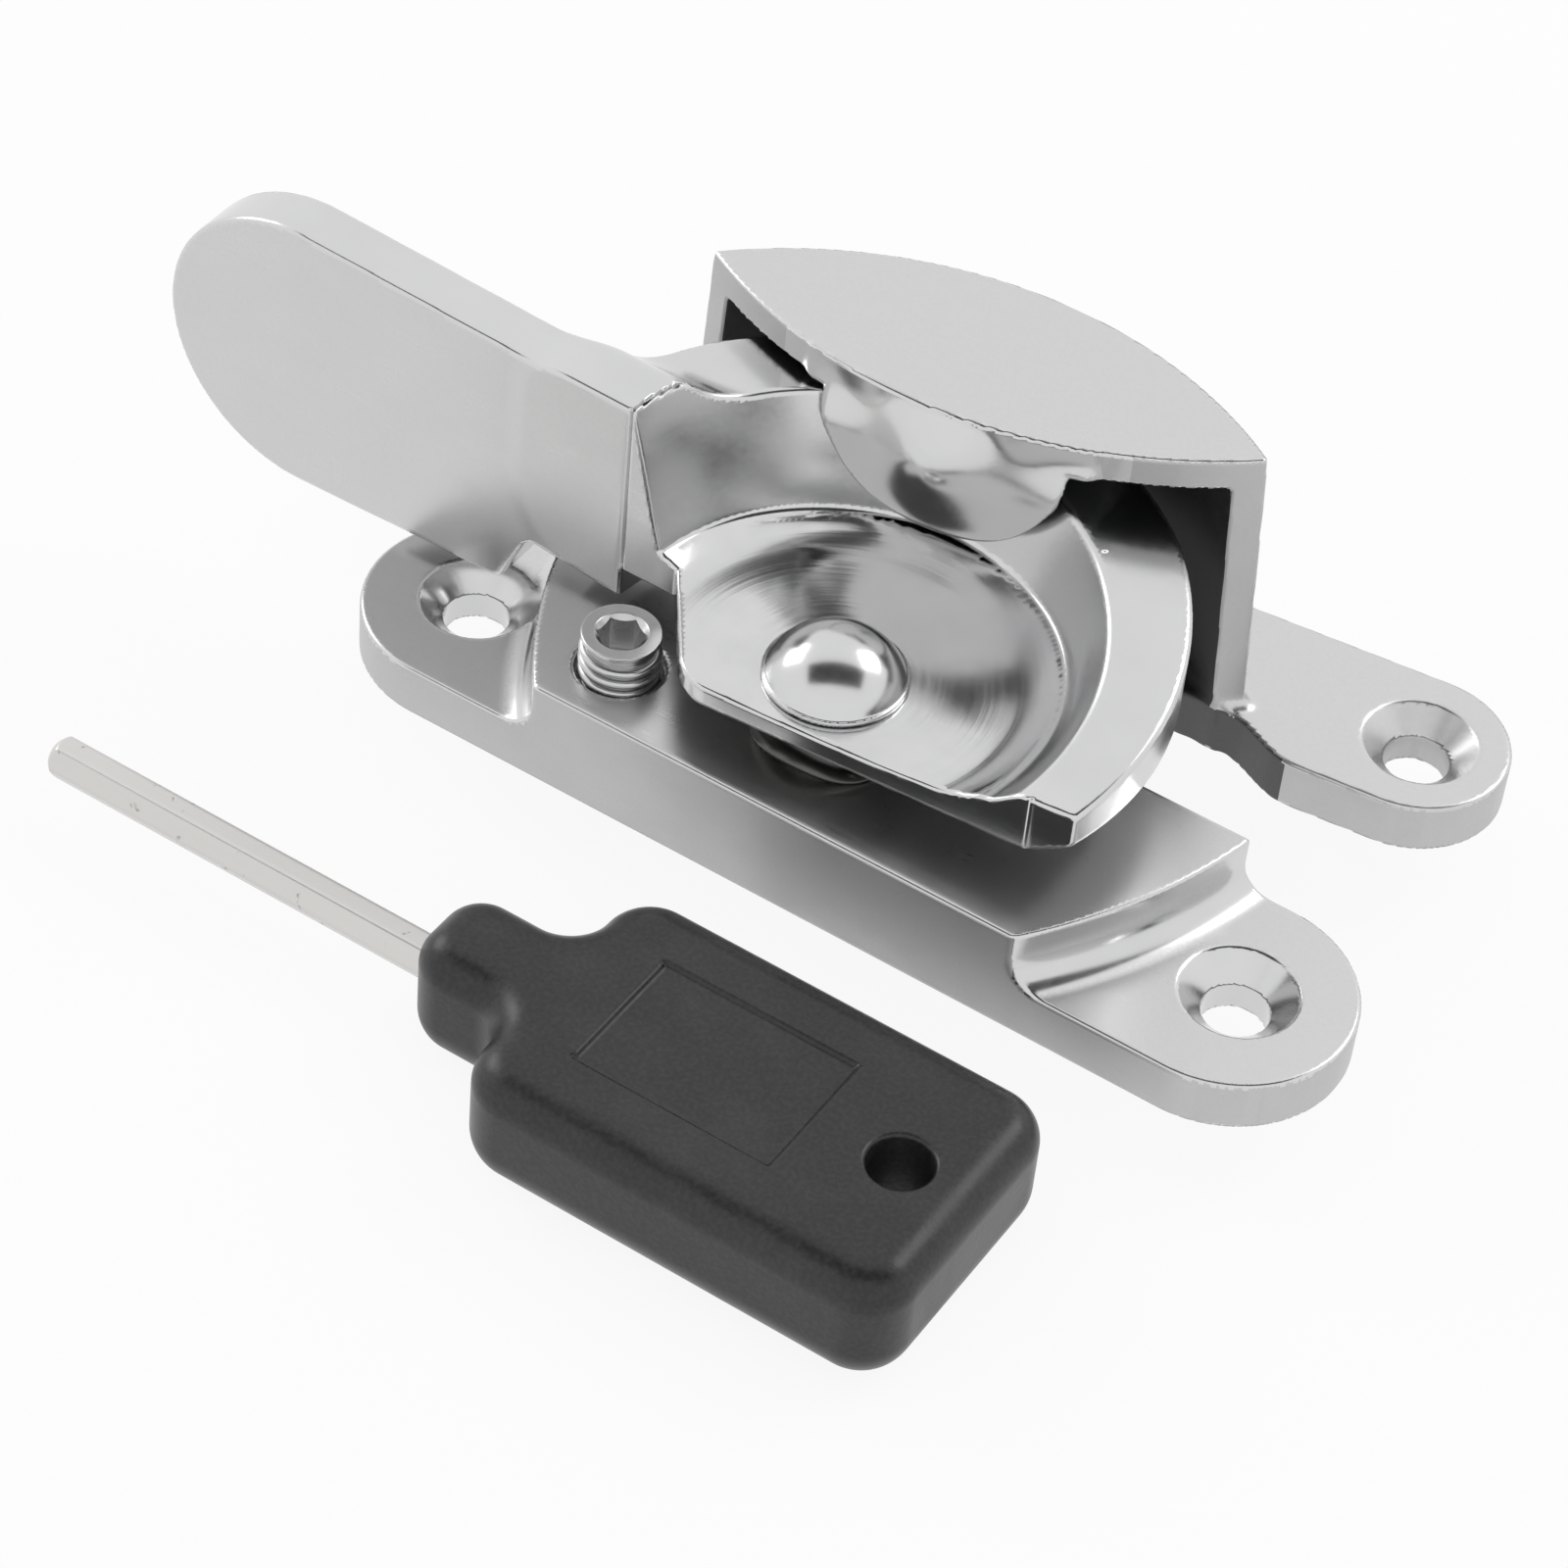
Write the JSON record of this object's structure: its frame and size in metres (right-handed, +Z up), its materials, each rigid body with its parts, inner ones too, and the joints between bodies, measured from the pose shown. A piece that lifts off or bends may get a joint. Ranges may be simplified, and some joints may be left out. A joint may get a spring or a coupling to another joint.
{
  "type": "locking sash fastener",
  "caption": "Lever cam sash fastener: screw-down base, turning dished cam with long lever, hooded keep, lock screw and hex key.",
  "frame": {"origin": "midway between the base's two screw holes, on the base's underside", "axes": "+X along the base towards its plain end, +Y from the room side towards the keep, +Z up from the window rail"},
  "size_m": [0.0841, 0.0615, 0.0284],
  "materials": {
    "polished_metal": "polished",
    "screw_steel": "bright",
    "spring_steel": "satin",
    "black_plastic": "matte"
  },
  "bodies": {
    "base": {"base_plate": "polished_metal", "pivot_rivet": "polished_metal", "wave_washer": "spring_steel"},
    "cam": {"cam_lever": "polished_metal"},
    "lock": {"lock_screw": "screw_steel"},
    "keep_body": {"keep": "polished_metal"},
    "key": {"key_shank": "screw_steel", "key_handle": "black_plastic"}
  },
  "joints": [
    {"name": "cam_turn", "type": "hinge", "parent": "base", "child": "cam", "pos_m": [-0.0015, 0, 0.01], "axis": [0, 0, 1], "range_deg": [0, 180]},
    {"name": "lock_travel", "type": "slide", "parent": "base", "child": "lock", "axis": [0, 0, 1], "range_m": [-0.00265, 0.001]},
    {"name": "keep_lift", "type": "slide", "parent": "base", "child": "keep_body", "axis": [0, 0, 1], "range_m": [0, 0.03]},
    {"name": "key_lift", "type": "slide", "parent": "base", "child": "key", "axis": [0, 0, 1], "range_m": [0, 0.03]}
  ]
}
